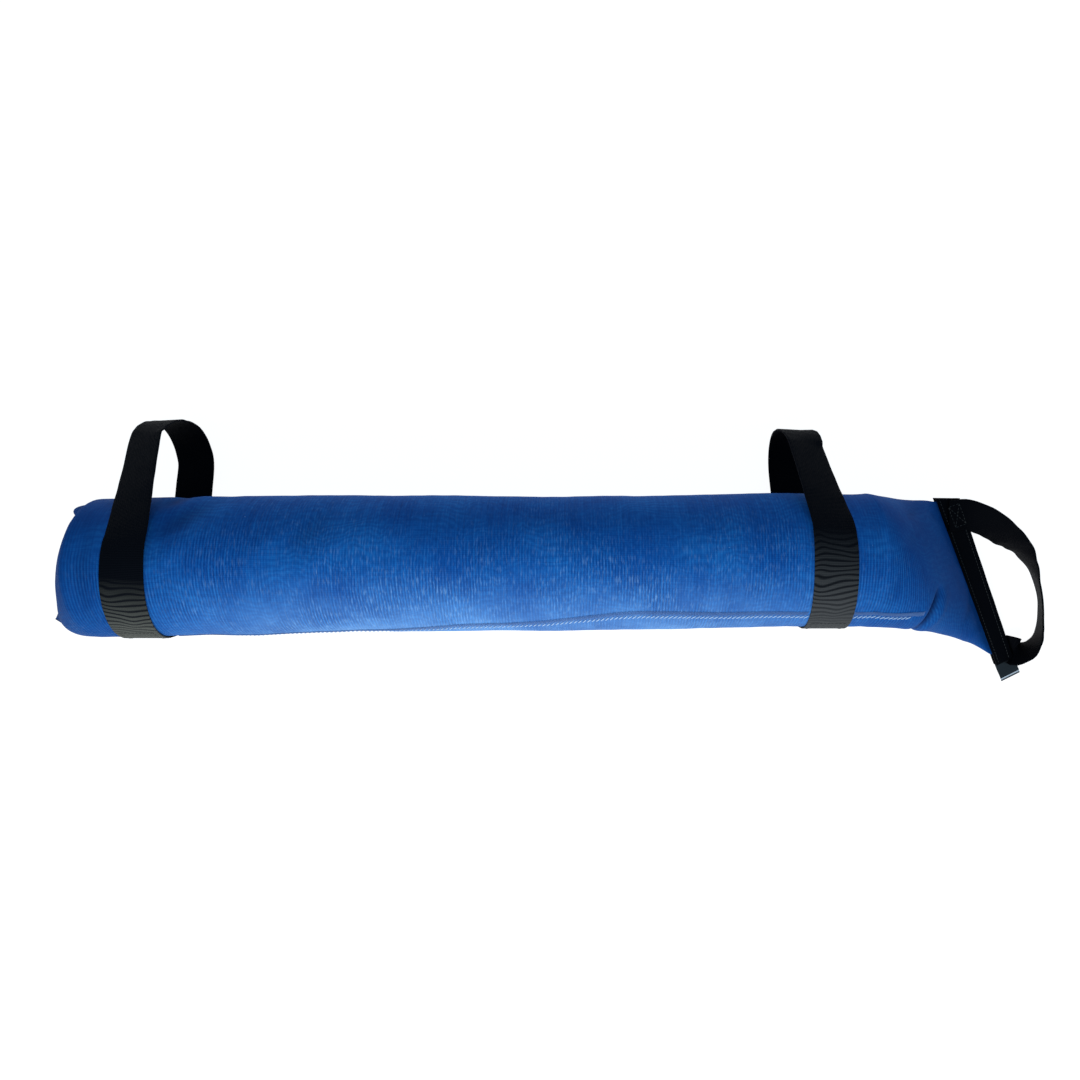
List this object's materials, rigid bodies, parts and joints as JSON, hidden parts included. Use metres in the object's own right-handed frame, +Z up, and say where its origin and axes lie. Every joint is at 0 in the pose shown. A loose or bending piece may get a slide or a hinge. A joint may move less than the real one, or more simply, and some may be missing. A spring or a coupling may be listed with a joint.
{
  "type": "tubular training bag",
  "caption": "Long stuffed cloth tube lying on its side, with webbing carry loops at both ends, a flat bound seam with an end loop, and a folded end.",
  "frame": {"origin": "on the floor under the middle of the bounding box of the bag lying on its side", "axes": "+X along the bag towards the flat sewn end, +Y the way the carry loops point, +Z up from the floor"},
  "size_m": [1.0083, 0.2614, 0.1284],
  "materials": {
    "blue_cloth": "ribbed woven cloth",
    "black_webbing": "woven webbing",
    "black_thread": "sewing thread",
    "blue_thread": "sewing thread",
    "label_cloth": "woven label",
    "foam": "open-cell foam sheet",
    "lining": "plain lining cloth",
    "filler": "shredded textile",
    "cord": "braided cord"
  },
  "bodies": {
    "bag": {"shell_tube": "blue_cloth", "shell_folded_end": "blue_cloth", "shell_sewn_end": "blue_cloth", "long_seam_lap": "blue_cloth", "left_end_flap": "blue_cloth", "long_seam_stitching": "blue_thread", "foam_wrap": "foam", "filler_sleeve": "lining", "textile_fill": "filler", "sleeve_tie": "cord", "left_strap_sewn": "black_webbing", "left_strap_upper": "black_webbing", "left_strap_lower": "black_webbing", "left_strap_stitching": "black_thread", "right_strap_sewn": "black_webbing", "right_strap_upper": "black_webbing", "right_strap_lower": "black_webbing", "right_strap_stitching": "black_thread", "right_end_binding": "black_webbing", "end_loop_far_tab": "black_webbing", "end_loop_near_tab": "black_webbing", "left_end_binding": "black_webbing", "right_binding_stitching": "black_thread", "end_loop_far_bartack": "black_thread", "end_loop_near_bartack": "black_thread", "left_binding_stitching": "black_thread"},
    "left_handle": {"left_handle_loop": "black_webbing"},
    "right_handle": {"right_handle_loop": "black_webbing"},
    "end_loop": {"end_loop": "black_webbing"},
    "label": {"woven_label": "label_cloth"}
  },
  "joints": [
    {"name": "left_handle_turn", "type": "hinge", "parent": "bag", "child": "left_handle", "pos_m": [-0.368, -0.0075, 0.0615], "axis": [1, 0, 0], "range_deg": [-15, 60], "deforming": ["left_strap_upper", "left_strap_lower"]},
    {"name": "right_handle_turn", "type": "hinge", "parent": "bag", "child": "right_handle", "pos_m": [0.256, -0.0075, 0.0615], "axis": [1, 0, 0], "range_deg": [-15, 60], "deforming": ["right_strap_upper", "right_strap_lower"]},
    {"name": "end_loop_flip", "type": "hinge", "parent": "bag", "child": "end_loop", "pos_m": [0.40756, 0.04806, 0.04975], "axis": [0.4263, -0.8603, -0.2794], "range_deg": [-60, 45]},
    {"name": "label_flip", "type": "hinge", "parent": "bag", "child": "label", "pos_m": [0.46153, -0.11536, 0.00532], "axis": [0.896, 0.444, 0], "range_deg": [-80, 60]}
  ]
}
